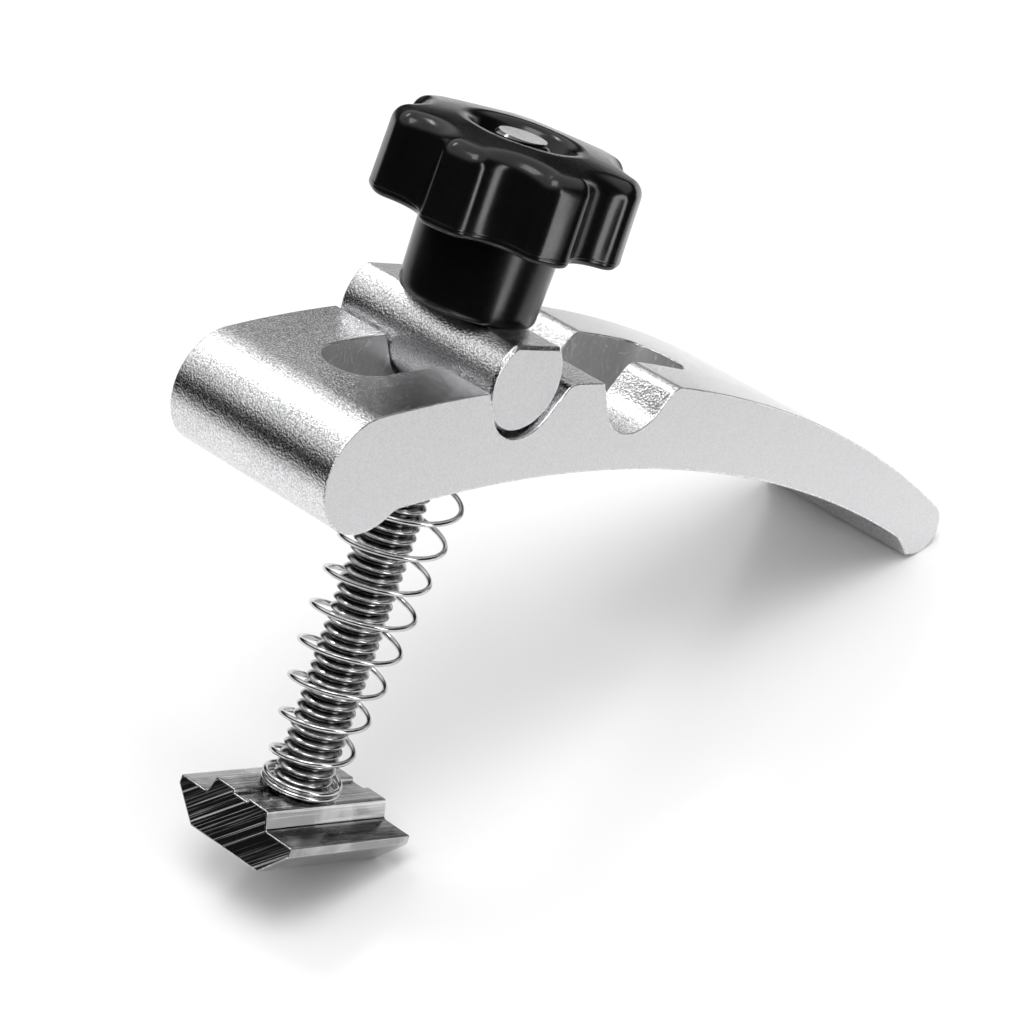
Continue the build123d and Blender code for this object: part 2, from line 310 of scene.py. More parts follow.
def drawn_in(ring, depth):
    """A closed section moved inwards: each corner goes along the mitre of its two
    sides, whose length is held where the corner is sharp."""
    step = np.roll(ring, -1, 0) - ring
    side = np.stack([-step[:, 1], step[:, 0]], 1) / np.linalg.norm(step, axis=1)[:, None]
    mitre = side + np.roll(side, 1, 0)
    return ring - depth * mitre / np.maximum(
        1 + (side * np.roll(side, 1, 0)).sum(1), 0.4)[:, None]


def rim_steps(edge, sloped):
    """How far out and how deep a rim goes: a quarter circle, or a slope of 45 degrees
    with a soft turn at its two ends."""
    if sloped:
        return edge * np.array([(0, 0), (0.14, 0.05), (0.3, 0.19), (0.81, 0.7),
                                (0.95, 0.86), (1, 1)])
    turn = np.radians(np.linspace(0, 90, 5))
    return edge * np.stack([np.sin(turn), 1 - np.cos(turn)], 1)


def bar(outline, sides, hole, edge, hole_edge, sloped=False, draw_in=drawn_in,
        hold=0.12):
    """A bar along y whose section is all points between two heights over x, with a
    hole along z. The outline gives both heights, coarse for the stations along x and
    fine for the heights there. The section is drawn in beside each end, along a
    quarter circle or a slope, so every rim is rounded or chamfered, and flats keep a
    narrow held border beside it. Finishes: 0 skin, 1 ends, 2 walls of the hole."""
    (top, fine_top), (bottom, fine_bottom) = outline
    middle, straight, radius = hole
    swing = -np.cos(np.radians(np.linspace(0, 180, 41))) * radius
    hole_x = middle + np.concatenate([np.sign(swing) * (straight + np.abs(swing)),
                                      np.linspace(-straight, straight,
                                                  2 + int(straight / 2))])
    stations = np.concatenate([top[:, 0], bottom[:, 0], hole_x])
    low, high = middle - straight - radius, middle + straight + radius
    rim, hole_rim = edge + hold, hole_edge + hold
    # Stations that crowd the hole's rim or each other are left out
    clear = hole_rim * 1.5
    near = (((stations > low - clear) & (stations < low - 1e-9))
            | ((stations < high + clear) & (stations > high + 1e-9)))
    x = np.unique(np.round(stations[~near], 7))
    x = x[np.concatenate([[True], np.diff(x) > 0.004])]

    def heights(chain, at):
        """Height of an outline at the given stations."""
        return np.interp(at, chain[:, 0], chain[:, 1])

    # The section as one ring, and the place in it of each station's two heights
    top_z, bottom_z = heights(fine_top, x), heights(fine_bottom, x)
    loop = np.concatenate([np.stack([x, top_z], 1), np.stack([x, bottom_z], 1)[::-1]])
    keep = np.linalg.norm(loop - np.roll(loop, 1, 0), axis=1) > 1e-5
    loop_ids = np.cumsum(keep) - 1
    loop_ids[loop_ids < 0] = keep.sum() - 1
    ring = loop[keep]
    patches, outer_y = [], {}
    for way, depth in ((-1, -sides[0]), (1, sides[1])):
        outer_y[way] = way * (depth - rim)
        rims = [(depth - rim, 0.0),
                *((depth - edge + out, inset) for out, inset in rim_steps(edge, sloped)),
                (depth, rim)]
        rings = []
        for y, inset in rims:
            moved = draw_in(ring, inset)
            rings.append(np.stack([moved[:, 0], np.full(len(ring), way * y),
                                   moved[:, 1]], 1))
        patches.append(patch(*rings, close_rows=True))
        cap = rings[-1][loop_ids]
        patches.append(patch(cap[:len(x)], cap[len(x):][::-1], finish=1))

    # Skin above and below, in strips from the rim to the hole's rim or to the middle
    # line. Beside the hole each station leans out along the hole's own normal
    inside = (x > low - 1e-6) & (x < high + 1e-6)
    offset = x - middle
    past = np.clip(np.abs(offset) - straight, 0, radius)
    wall_y = np.sqrt(np.maximum(radius**2 - past**2, 0))
    lean_x, lean_y = np.sign(offset) * past / radius, wall_y / radius
    border = [(hole_rim, 0.0),
              *((hole_edge - out, inset) for out, inset in rim_steps(hole_edge, False)),
              (0.0, hole_rim)]
    hole_rims = {}
    for part, chain, z, sense in (("top", fine_top, top_z, 1),
                                  ("bottom", fine_bottom, bottom_z, -1)):
        for way in (-1, 1):
            rows = []
            for off, drop in border:
                at = x + lean_x * off
                rows.append(np.stack([at, way * (wall_y + lean_y * off),
                                      heights(chain, at) - sense * drop], 1)[inside])
            inner = np.stack([x, 0 * x, z], 1)
            inner[inside] = rows[0]
            outer = np.stack([x, np.full(len(x), outer_y[way]), z], 1)
            patches.append(patch(inner, outer))
            patches.append(patch(*rows))
            hole_rims[part, way] = rows[-1]
    share = np.linspace(0, 1, 5)[None, :, None]
    for way in (-1, 1):
        upper, lower = hole_rims["top", way][:, None], hole_rims["bottom", way][:, None]
        patches.append((upper * (1 - share) + lower * share, 2, False, False))
    # Upright ends, where the section has them
    for end in (0, -1):
        if top_z[end] - bottom_z[end] > 1e-4:
            patches.append(patch(*(
                np.array([[x[end], y, top_z[end]], [x[end], y, bottom_z[end]]])
                for y in (outer_y[-1], 0.0, outer_y[1]))))
    return patches


# Clamp arm: heights of the back and of the underside over x, from touching arcs

back_centre = np.array([seat_pitch / 2, back_rise - back_radius])
arch_centre = np.array([arch_crest, back_rise - arm_thickness - arch_radius])


def inside_back(x, radius):
    """Centre at x of a circle that touches the back from inside."""
    run = x - back_centre[0]
    return np.array([x, back_centre[1] + math.sqrt((back_radius - radius) ** 2 - run**2)])


heel = inside_back(heel_radius - heel_reach, heel_radius)
nose = inside_back(toe_reach - nose_radius, nose_radius)
heel_touch = heel + unit(heel - back_centre) * heel_radius
nose_touch = nose + unit(nose - back_centre) * nose_radius


def crossing(first, first_radius, second, second_radius):
    """Higher-x crossing of two circles."""
    span = second - first
    length = np.hypot(*span)
    along = (first_radius**2 - second_radius**2 + length**2) / (2 * length)
    out = math.sqrt(first_radius**2 - along**2)
    way = span / length
    beside = np.array([-way[1], way[0]]) * out
    return max((first + way * along + beside, first + way * along - beside),
               key=lambda place: place[0])


def arm_back(fine):
    """Back of the arm, heel to toe: bulb, long arc with two seats, nose. A seat is an
    arc between two leaning walls, and each lip is an arc that touches wall and back."""
    parts = [arc_to(heel, heel - (heel_radius, 0), heel_touch, 22 * fine)]
    last = heel_touch
    mouth = math.radians(mouth_angle)
    for seat in (0.0, seat_pitch):
        centre = np.array([seat, -seat_drop])
        lips = []
        for side, lip in ((-1, back_lip), (1, front_lip)):
            rise = np.array([side * math.sin(mouth), math.cos(mouth)])
            out = np.array([side * math.cos(mouth), -math.sin(mouth)])
            foot = centre + out * (seat_radius + lip)
            middle = reach(foot, rise, back_centre, back_radius - lip)
            touch = back_centre + unit(middle - back_centre) * back_radius
            lips.append((middle, middle - out * lip, touch))
        (behind, wall_behind, touch_behind), (ahead, wall_ahead, touch_ahead) = lips
        parts += [
            arc_to(back_centre, last, touch_behind, 14 * fine),
            arc_to(behind, touch_behind, wall_behind, 6 * fine),
            arc(centre, seat_radius, 180 + mouth_angle, 360 - mouth_angle, 26 * fine),
            arc_to(ahead, wall_ahead, touch_ahead, 10 * fine),
        ]
        last = touch_ahead
    parts.append(arc_to(back_centre, last, nose_touch, 44 * fine))
    parts.append(arc_to(nose, nose_touch, nose + (nose_radius, 0), 12 * fine))
    return np.concatenate(parts)


def arm_underside(fine):
    """Underside, heel to toe: bulb, root, long arch, foot with its flat, nose."""
    root = crossing(heel, heel_radius + heel_root_radius,
                    arch_centre, arch_radius - heel_root_radius)
    on_heel = heel + unit(root - heel) * heel_radius
    on_arch = arch_centre + unit(root - arch_centre) * arch_radius
    corner = nose + (-foot_flat, -nose_radius)
    step = ways(math.radians(180 - foot_slope))
    clear = np.array([-step[1], step[0]])
    foot_root = reach(corner + clear * foot_root_radius, step, arch_centre,
                      arch_radius - foot_root_radius)
    on_slope = foot_root - clear * foot_root_radius
    on_foot_arch = arch_centre + unit(foot_root - arch_centre) * arch_radius
    return np.concatenate([
        arc(heel, heel_radius, 180, 270, 22 * fine),
        arc_to(heel, heel - (0, heel_radius), on_heel, 14 * fine),
        arc_to(root, on_heel, on_arch, 6 * fine),
        arc_to(arch_centre, on_arch, on_foot_arch, 60 * fine),
        arc_to(foot_root, on_foot_arch, on_slope, 5 * fine),
        np.array([on_slope, corner]),
        arc_to(nose, nose - (0, nose_radius), nose + (nose_radius, 0), 12 * fine),
    ])


# Pivot barrel, T-nut


def barrel_round(side, fine):
    """Upper half of the barrel's section for side 1, cut off by the flat, and lower
    half for side -1."""
    points = arc((0, 0), barrel_radius, 180, 180 - side * 180, 56 * fine)
    flat = points[:, 1] > barrel_flat
    corner = math.sqrt(barrel_radius**2 - barrel_flat**2)
    if flat.any():
        corners = np.array([[-corner, barrel_flat], [corner, barrel_flat]])
        points = np.concatenate([points[~flat], corners])
        points = points[np.argsort(points[:, 0])]
    return points


def barrel_drawn_in(ring, depth):
    """Barrel's section towards its middle: scaled, and held under the lowered flat."""
    scaled = ring * (1 - depth / barrel_radius)
    scaled[:, 1] = np.minimum(scaled[:, 1], barrel_flat - depth)
    return scaled


def mirrored(half):
    """A section over x from its right half, which runs inwards to the middle."""
    half = np.array(half)
    return np.concatenate([half * (-1, 1), half[::-1]])


def nut_upper(fine):
    """Top of the T-nut's section: flange, neck with flared sides, shallow groove."""
    side, shelf = (nut_half_width, nut_shelf - 1), (nut_half_width, nut_shelf)
    foot, head = (nut_neck_foot, nut_shelf), (nut_neck, nut_top)
    brink, floor = (nut_groove + 0.05, nut_top), nut_top - nut_groove_depth
    on_shelf, on_top = (8, nut_shelf), (3, nut_top)
    return mirrored([
        *round_corner(side, shelf, on_shelf, nut_top_round, 4 * fine),
        *round_corner(on_shelf, foot, head, nut_neck_fillet, 4 * fine),
        *round_corner(foot, head, on_top, nut_top_round, 4 * fine),
        *round_corner(on_top, brink, (nut_groove - 0.07, floor), nut_groove_rounds[0],
                      3 * fine),
        *round_corner(brink, (nut_groove - 0.1, floor), (0, floor),
                      nut_groove_rounds[1], 3 * fine),
    ])


def nut_lower(fine):
    """Bottom of the T-nut's section: sloping sides and a flat."""
    shelf, side = (nut_half_width, nut_shelf), (nut_half_width, nut_side_foot)
    corner = (nut_bottom_half_width, nut_bottom)
    return mirrored([
        *round_corner(shelf, side, corner, nut_side_rounds[0], 4 * fine),
        *round_corner(side, corner, (0, nut_bottom), nut_side_rounds[1], 4 * fine),
    ])


# Stud: screw thread as a helical grid

THREAD_SPOKES = 44


def thread_grid(radius, root, pitch, start, end, end_radius, spokes=THREAD_SPOKES):
    """Radius over one pitch is crest, flank, root, flank with rounded turns. Rows
    follow the helix: height is pitch * (turn + phase), held between the two ends,
    where a cone limits the radius."""
    phase = np.array([0.0, 0.055, 0.13, 0.27, 0.41, 0.48, 0.55, 0.62, 0.69, 0.83, 0.95])
    share = np.array([1.0, 0.97, 0.86, 0.5, 0.14, 0.02, 0.0, 0.02, 0.14, 0.62, 0.97])
    turns = int((end - start) / pitch) + 3
    row = (np.arange(turns)[:, None] + phase[None, :]).reshape(-1, 1)
    depth = np.tile(share, turns)[:, None]
    angle = np.linspace(0, math.tau, spokes + 1)
    height = start + pitch * (row - 1 + angle / math.tau)
    held = np.clip(height, start, end)
    cone = np.minimum(held - start, end - held) + end_radius    # 45 degrees
    size = np.minimum(root + (radius - root) * depth, cone)
    size = np.where((height <= start) | (height >= end), end_radius, size)
    return revolved(size, angle, held)


def disc(radius, height, spokes=THREAD_SPOKES, rings=6):
    """Closed end: rings of points that shrink to the middle."""
    angle = np.linspace(0, math.tau, spokes + 1)
    return revolved(radius * np.linspace(1, 0, rings + 1)[:, None], angle, height)


# Spring


def eased(share):
    """Smooth step from 0 to 1."""
    held = np.clip(share, 0, 1)
    return held * held * (3 - 2 * held)


lean = math.acos(np.clip(arm_up @ screw_up, -1, 1))
stud_at_arch = -(arm_thickness - back_rise) * math.sin(lean)
arch_slope = math.asin((arch_centre[0] - stud_at_arch) / arch_radius) + lean
arch_height = arch_centre[1] + math.sqrt(
    arch_radius**2 - (stud_at_arch - arch_centre[0]) ** 2)
spring_foot = nut_top + spring_end_gap + wire_radius
spring_head = (arch_height * math.cos(lean) - spring_end_gap
               - spring_top_radius**2 / (2 * arch_radius) - wire_radius)
closed_rise = 2 * wire_radius + spring_coil_gap
free_rise = (spring_head - spring_foot
             - closed_rise * (spring_foot_turns + spring_top_turns)) / spring_free_turns
spring_turns = spring_foot_turns + spring_free_turns + spring_top_turns


def spring_line(turn):
    """Wire's middle line: a cone that becomes a cylinder, closed turns at its ends,
    with a lean that grows with height, a bow and the slope of its turns."""
    free = np.clip(turn - spring_foot_turns, 0, spring_free_turns)
    height = spring_foot + closed_rise * (turn - free) + free_rise * free
    up = height - spring_foot
    share = up / (spring_head - spring_foot)
    bow = np.sin(math.pi * share)
    radius = spring_foot_radius + (spring_top_radius - spring_foot_radius) * eased(
        up / spring_taper)
    angle = math.radians(spring_foot_angle) + math.tau * turn
    x = radius * np.cos(angle) + spring_drift[0] * share + spring_bow[0] * bow
    y = radius * np.sin(angle) + spring_drift[1] * share + spring_bow[1] * bow
    slope = math.tan(arch_slope) * share**3 - spring_dip * bow
    return np.stack([x, y, height + x * slope], 1)


def tube(line, radius, spokes=14):
    """Round wire: each ring stands square to the line, spread by the way out from the
    spring's axis and by its cross product with the line's direction. Rings shrink to
    the middle at both ends."""
    way = np.gradient(line, axis=0)
    way /= np.linalg.norm(way, axis=1)[:, None]
    out = line * (1, 1, 0)
    out -= (out * way).sum(1)[:, None] * way
    out /= np.linalg.norm(out, axis=1)[:, None]
    side = np.cross(way, out)
    angle = np.linspace(0, math.tau, spokes + 1)[None, :, None]
    ring = np.cos(angle) * out[:, None] + np.sin(angle) * side[:, None]
    shrink = np.array([0.0, 0.75, 1.0])[:, None, None]
    first = line[0] + radius * ring[0] * shrink
    last = line[-1] + radius * ring[-1] * shrink[::-1]
    body = line[:, None] + radius * ring
    return np.concatenate([first, body, last])


# Knob


def lobed_outline(steps):
    """Plan of the lobes, with its normals: an arc about the knob's axis, a corner
    circle that touches it from inside and the scallop's circle from outside, and the
    scallop. Half a lobe is mirrored and then turned to each lobe's place."""
    centre_reach = scallop_floor + scallop_radius
    corner_reach = lobe_radius - lobe_corner
    gap = scallop_radius + lobe_corner
    swing = math.acos((corner_reach**2 + centre_reach**2 - gap**2)
                      / (2 * corner_reach * centre_reach))
    half = math.pi / lobe_count
    at = half - swing
    corner, scallop = corner_reach * ways(at), centre_reach * ways(half)
    to_scallop = math.atan2(*(scallop - corner)[::-1])
    outer = ways(np.linspace(0, at, steps, endpoint=False))
    bend = ways(np.linspace(at, to_scallop, 2 * steps, endpoint=False))
    hollow = ways(np.linspace(to_scallop + math.pi, half + math.pi, steps + 1))
    place = np.concatenate([lobe_radius * outer, corner + lobe_corner * bend,
                            scallop + scallop_radius * hollow])
    normal = np.concatenate([outer, bend, -hollow])
    flip = np.array([1, -1])
    place = np.concatenate([(place * flip)[-2:0:-1], place])
    normal = np.concatenate([(normal * flip)[-2:0:-1], normal])
    places, normals = [], []
    for lobe in range(lobe_count):
        turn = math.radians(lobe_turn) + lobe * math.tau / lobe_count
        spin = np.array([[math.cos(turn), math.sin(turn)],
                         [-math.sin(turn), math.cos(turn)]])
        places.append(place @ spin)
        normals.append(normal @ spin)
    return np.concatenate(places), np.concatenate(normals)


dome_radius = (lobe_radius**2 + dome_drop**2) / (2 * dome_drop)


def dome_height(plan):
    """Domed top: a sphere whose crown is the knob's top."""
    return knob_top - dome_radius + np.sqrt(dome_radius**2 - (plan**2).sum(-1))


def knob_grid():
    """One closed grid: rows climb from the hub's foot over the lobes and the dome,
    and go down through the bowl and the bush's seat to the foot again."""
    plan, normal = lobed_outline(8)
    polar = unit_rows(plan)
    rows = []

    def level(flat, height):
        """A row of plan points at a height, or at a height each."""
        rows.append(np.column_stack([flat, np.broadcast_to(height, len(plan))]))

    def inset(depth, height):
        """The lobes' plan, drawn in by a depth along its normals."""
        level(plan - normal * np.reshape(depth, (-1, 1)), height)

    def quarter(steps):
        """Sine and cosine of angles over a right angle."""
        return [(math.sin(angle), math.cos(angle))
                for angle in np.radians(np.linspace(0, 90, steps))]

    # Hub: flat foot, rounded rim, drafted wall, root under the lobes
    hub_taper = math.tan(math.radians(hub_draft))
    level(polar * (insert_radius + insert_fit), knob_foot)
    level(polar * (hub_radius - 2 * hub_foot_round), knob_foot)
    for sine, cosine in quarter(7):
        level(polar * (hub_radius - hub_foot_round * (1 - sine)),
              knob_foot + hub_foot_round * (1 - cosine))
    for height in np.linspace(knob_foot + 1.6, lobes_foot - 0.4, 8):
        level(polar * (hub_radius + (height - knob_foot) * hub_taper), height)
    hub_head = hub_radius + (lobes_foot - knob_foot) * hub_taper
    for sine, cosine in quarter(4):
        level(polar * (hub_head + hub_root_round * (1 - cosine)),
              lobes_foot - hub_root_round * (1 - sine))

    # Underside of the lobes, their rounded lower rim and the bead of the parting line.
    # Rim and wall stand a little inside the plan
    lobe_step, wall_step = 0.04, 0.05
    start = polar * (hub_head + hub_root_round)
    end = plan - normal * (head_foot_round + lobe_step)
    for share in np.linspace(0, 1, 6)[1:-1]:
        level(start * (1 - share) + end * share, lobes_foot)
    for sine, cosine in quarter(6):
        inset(lobe_step + head_foot_round * (1 - sine),
              lobes_foot + head_foot_round * (1 - cosine))
    taper = math.tan(math.radians(head_draft))
    bead_top = parting_height + 0.2
    for height, proud in ((parting_height - 0.17, 0), (parting_height - 0.09, 0.01),
                          (parting_height, parting_bead), (parting_height + 0.09, 0.01),
                          (bead_top, 0)):
        inset(wall_step + height * taper - proud, lobes_foot + height)

    # Drafted wall, up to a round that touches both wall and dome
    round_start = knob_top - lobes_foot - dome_drop - head_round_start
    wall_inset = wall_step + round_start * taper
    edge_plan = plan - normal * (wall_inset + head_top_round)
    slope = (edge_plan * normal).sum(1) / np.sqrt(
        dome_radius**2 - (edge_plan**2).sum(1))
    tilt = np.arctan(slope)
    centre_height = dome_height(edge_plan) - head_top_round / np.cos(tilt)
    wall = centre_height - lobes_foot - bead_top
    for share in (0.2, 0.4, 0.6, 0.8):
        height = bead_top + wall * share
        inset(wall_step + height * taper, lobes_foot + height)
    for share in np.linspace(0, 1, 10):
        angle = share * (math.pi / 2 - tilt)
        inset(wall_inset + head_top_round * (1 - np.cos(angle)),
              centre_height + head_top_round * np.sin(angle))

    # Dome, from the lobes' plan to a circle round the bowl
    last = rows[-1][:, :2]
    rim = polar * (bowl_radius + 1.0)
    for share in np.linspace(0, 1, 9)[1:]:
        flat = last * (1 - share) + rim * share
        level(flat, dome_height(flat))

    # Bowl: rounded rim, steep wall, rounded floor
    brink, beyond = ((reach_out, float(dome_height(np.array([reach_out, 0.0]))))
                     for reach_out in (bowl_radius, bowl_radius + 2))
    floor = (bowl_floor_radius, bowl_floor)
    for radius, height in np.concatenate([
            round_corner(beyond, brink, floor, bowl_rim_round, 9),
            round_corner(brink, floor, (0, bowl_floor), bowl_floor_round, 5)]):
        level(polar * radius, height)
    level(polar * (insert_radius + insert_fit), bowl_floor)
    return np.stack(rows, 0)


def lathe(section, spokes=64):
    """A closed section of radius and height, turned about the screw's axis."""
    angle = np.linspace(0, math.tau, spokes, endpoint=False)
    return revolved(section[:, :1], angle, section[:, 1:])


# Materials. Node groups work out heights, masks and values; coordinates are in
# millimetres, in each piece's own axes


def node(tree, kind, inputs=None, **settings):
    """Adds a node; each input is a constant or another node's output."""
    made = tree.nodes.new(kind)
    for name, value in settings.items():
        setattr(made, name, value)
    for name, value in (inputs or {}).items():
        if isinstance(value, bpy.types.NodeSocket):
            tree.links.new(value, made.inputs[name])
        else:
            made.inputs[name].default_value = value
    return made


def maths(tree, operation, first, second=0.0, third=0.0):
    """One step of arithmetic on numbers or outputs."""
    return node(tree, "ShaderNodeMath", {0: first, 1: second, 2: third},
                operation=operation).outputs[0]


def noise(tree, vector, scale, output="Fac", **settings):
    """Value or colour of a noise at a scale."""
    return node(tree, "ShaderNodeTexNoise",
                {"Vector": vector, "Scale": scale, **settings}).outputs[output]


def weighed(tree, first, share, second, rest):
    """Sum of two outputs, each times its share."""
    return maths(tree, "MULTIPLY_ADD", first, share,
                 maths(tree, "MULTIPLY", second, rest))


def levels(tree, value, span, ends=(0.0, 1.0)):
    """A smooth step: over the span of the value it goes from one end to the other."""
    return node(tree, "ShaderNodeMapRange",
                {"Value": value, "From Min": span[0], "From Max": span[1],
                 "To Min": ends[0], "To Max": ends[1]},
                interpolation_type="SMOOTHSTEP").outputs["Result"]


def new_group(name, outputs, **numbers):
    """An empty node group: coordinates and numbers go in, numbers come out."""
    group = bpy.data.node_groups.new(name, "ShaderNodeTree")
    new_socket = group.interface.new_socket
    new_socket("Coordinates", in_out="INPUT", socket_type="NodeSocketVector")
    for label, value in numbers.items():
        new_socket(label, in_out="INPUT",
                   socket_type="NodeSocketFloat").default_value = value
    for label in outputs:
        new_socket(label, in_out="OUTPUT", socket_type="NodeSocketFloat")
    return group, group.nodes.new("NodeGroupInput").outputs


def put_out(group, **values):
    """Links values to the group's outputs and returns the group."""
    results = group.nodes.new("NodeGroupOutput").inputs
    for label, value in values.items():
        group.links.new(value, results[label])
    return group


# Values between which nearly all of the fine grain lies, most of it, and all lines
GRAIN_SPAN, GRAIN_CORE, LINE_SPAN = (0.3, 0.7), (0.38, 0.60), (0.6, 1.0)


def make_grain():
    """Blasted or moulded grain: round dimples in two sizes, and patches of it."""
    group, given = new_group("grain", ["Height", "Fine", "Patches"], Size=0.25)
    place = given["Coordinates"]
    scale = maths(group, "DIVIDE", 1.0, given["Size"])
    cells = node(group, "ShaderNodeTexVoronoi",
                 {"Vector": place, "Scale": scale, "Smoothness": 0.7},
                 feature="SMOOTH_F1").outputs["Distance"]
    fine = noise(group, place, maths(group, "MULTIPLY", scale, 1.3), Detail=3.0,
                 Roughness=0.65)
    patches = noise(group, place, 0.09, Detail=3.0, Roughness=0.6)
    both = maths(group, "ADD", maths(group, "MULTIPLY", cells, 0.6), fine)
    return put_out(group, Height=both, Fine=fine,
                   Patches=levels(group, patches, (0.36, 0.64)))


def make_lines():
    """Drawn or sawn lines: noise held long along y and short along x and z."""
    group, given = new_group("lines", ["Height", "Bright"], Pitch=0.3, Length=12.0)
    short = maths(group, "DIVIDE", 1.0, given["Pitch"])
    long = maths(group, "DIVIDE", 1.0, given["Length"])
    stretch = node(group, "ShaderNodeCombineXYZ", {"X": short, "Y": long, "Z": short})
    scaled = node(group, "ShaderNodeVectorMath",
                  {0: given["Coordinates"], 1: stretch.outputs[0]},
                  operation="MULTIPLY").outputs[0]
    coarse = noise(group, scaled, 0.45, Detail=2.0)
    fine = noise(group, scaled, 1.0, Detail=4.0, Roughness=0.7)
    height = maths(group, "ADD", maths(group, "MULTIPLY", coarse, 0.6), fine)
    return put_out(group, Height=height, Bright=levels(group, height, (0.84, 1.02)))


def make_handling():
    """Smudges from handling: broad soft patches and a few small flecks."""
    group, given = new_group("handling", ["Smudge", "Flecks"])
    place = given["Coordinates"]
    broad = noise(group, place, 0.14, Detail=5.0, Roughness=0.55, Distortion=0.8)
    dots = node(group, "ShaderNodeTexVoronoi",
                {"Vector": place, "Scale": 0.45, "Randomness": 1.0}).outputs["Distance"]
    return put_out(group, Smudge=levels(group, broad, (0.42, 0.68)),
                   Flecks=levels(group, dots, (0.09, 0.03)))


grain_group, lines_group, handling_group = make_grain(), make_lines(), make_handling()


class Finish:
    """A material in the making, with the piece's own coordinates in millimetres."""

    def __init__(self, name, **constants):
        self.material = bpy.data.materials.new(name)
        self.material.use_nodes = True
        self.tree = self.material.node_tree
        self.shader = self.tree.nodes["Principled BSDF"].inputs
        for label, value in constants.items():
            self.shader[label].default_value = value
        self.local = node(self.tree, "ShaderNodeAttribute",
                          attribute_name="local").outputs["Vector"]

    def use(self, group, **inputs):
        """Outputs of a node group, on the piece's own coordinates or on those given."""
        inputs.setdefault("Coordinates", self.local)
        return node(self.tree, "ShaderNodeGroup", inputs, node_tree=group).outputs

    def turned(self, vector, angle, axis):
        """Coordinates turned about one axis, in degrees."""
        return node(self.tree, "ShaderNodeVectorRotate",
                    {"Vector": vector, "Angle": math.radians(angle)},
                    rotation_type=f"{axis}_AXIS").outputs[0]

    def colour(self, mask, dark, light):
        """Base colour between two colours by a mask."""
        mix = node(self.tree, "ShaderNodeMix",
                   {"Factor": mask, "A": (*dark, 1), "B": (*light, 1)}, data_type="RGBA")
        self.tree.links.new(mix.outputs["Result"], self.shader["Base Color"])

    def rough(self, value, span, ends, smudge=None, share=0.0):
        """Roughness from one end to the other over a value's span, and a share of the
        smudges on top."""
        rough = levels(self.tree, value, span, ends)
        if smudge is not None:
            rough = maths(self.tree, "MULTIPLY_ADD", smudge, share, rough)
        self.tree.links.new(rough, self.shader["Roughness"])

    def bump(self, height, distance, strength, under=None):
        """Bump onto the shader's normal: a height times a distance in millimetres,
        over the normal of another bump where one is given."""
        inputs = {"Height": height, "Distance": distance * METRES, "Strength": strength}
        if under is not None:
            inputs["Normal"] = under
        normal = node(self.tree, "ShaderNodeBump", inputs).outputs["Normal"]
        self.tree.links.new(normal, self.shader["Normal"])
        return normal


def make_blasted():
    """Bead-blasted skin: fine dimples that glitter, with faintly uneven patches."""
    skin = Finish("blasted_aluminium", Metallic=1.0)
    grain, hands = skin.use(grain_group, Size=0.3), skin.use(handling_group)
    shade = maths(skin.tree, "MULTIPLY_ADD", grain["Patches"], 0.12,
                  levels(skin.tree, grain["Fine"], GRAIN_CORE, (0.0, 0.88)))
    skin.colour(shade, (0.42, 0.42, 0.43), (0.90, 0.90, 0.91))
    skin.rough(grain["Fine"], GRAIN_SPAN, (0.08, 0.13), hands["Smudge"], 0.04)
    skin.bump(grain["Height"], 0.07, 0.75)
    return skin.material


def make_sawn_aluminium():
    """Sawn and blasted end faces: matt light grey, fine grain, faint cut lines."""
    face = Finish("sawn_aluminium", Metallic=0.55)
    grain, hands = face.use(grain_group, Size=0.3), face.use(handling_group)
    cut = face.use(lines_group, Coordinates=face.turned(face.local, 90, "X"), Pitch=0.5,
                   Length=30.0)
    shade = maths(face.tree, "MULTIPLY_ADD", cut["Bright"], 0.05,
                  levels(face.tree, grain["Fine"], GRAIN_CORE, (0.0, 0.95)))
    face.colour(shade, (0.70, 0.70, 0.71), (0.79, 0.79, 0.80))
    face.rough(grain["Fine"], GRAIN_SPAN, (0.56, 0.66), hands["Smudge"], -0.04)
    face.bump(grain["Height"], 0.02, 0.35)
    return face.material


def make_milled():
    """Milled walls of the slot: upright cutter marks crossed by swirled scratches."""
    wall = Finish("milled_aluminium", Metallic=0.8)
    swirl = noise(wall.tree, wall.local, 0.22, "Color", Detail=1.0)
    bent = node(wall.tree, "ShaderNodeVectorMath",
                {0: swirl, 1: (7.0, 7.0, 7.0), 2: wall.local},
                operation="MULTIPLY_ADD").outputs[0]
    scratches = wall.use(lines_group, Coordinates=wall.turned(bent, 62, "X"), Pitch=0.35,
                         Length=5.0)
    marks = wall.use(lines_group, Coordinates=wall.turned(wall.local, 90, "X"), Pitch=0.6,
                     Length=14.0)
    wall.colour(weighed(wall.tree, scratches["Bright"], 0.6, marks["Height"], 0.3),
                (0.48, 0.48, 0.49), (0.95, 0.95, 0.95))
    wall.rough(scratches["Height"], LINE_SPAN, (0.46, 0.3))
    under = wall.bump(marks["Height"], 0.03, 0.35)
    wall.bump(scratches["Height"], 0.03, 0.45, under)
    return wall.material


def make_drawn_steel():
    """Plated steel over drawn bar: long lines along the bar, smudged plating."""
    plate = Finish("plated_steel", Metallic=1.0)
    drawn = plate.use(lines_group, Pitch=0.4, Length=26.0)
    hands = plate.use(handling_group)
    plate.colour(weighed(plate.tree, drawn["Bright"], 0.55, hands["Smudge"], 0.45),
                 (0.3, 0.3, 0.305), (0.86, 0.86, 0.86))
    plate.rough(drawn["Height"], LINE_SPAN, (0.1, 0.2), hands["Smudge"], 0.08)
    plate.bump(drawn["Height"], 0.05, 0.6)
    return plate.material


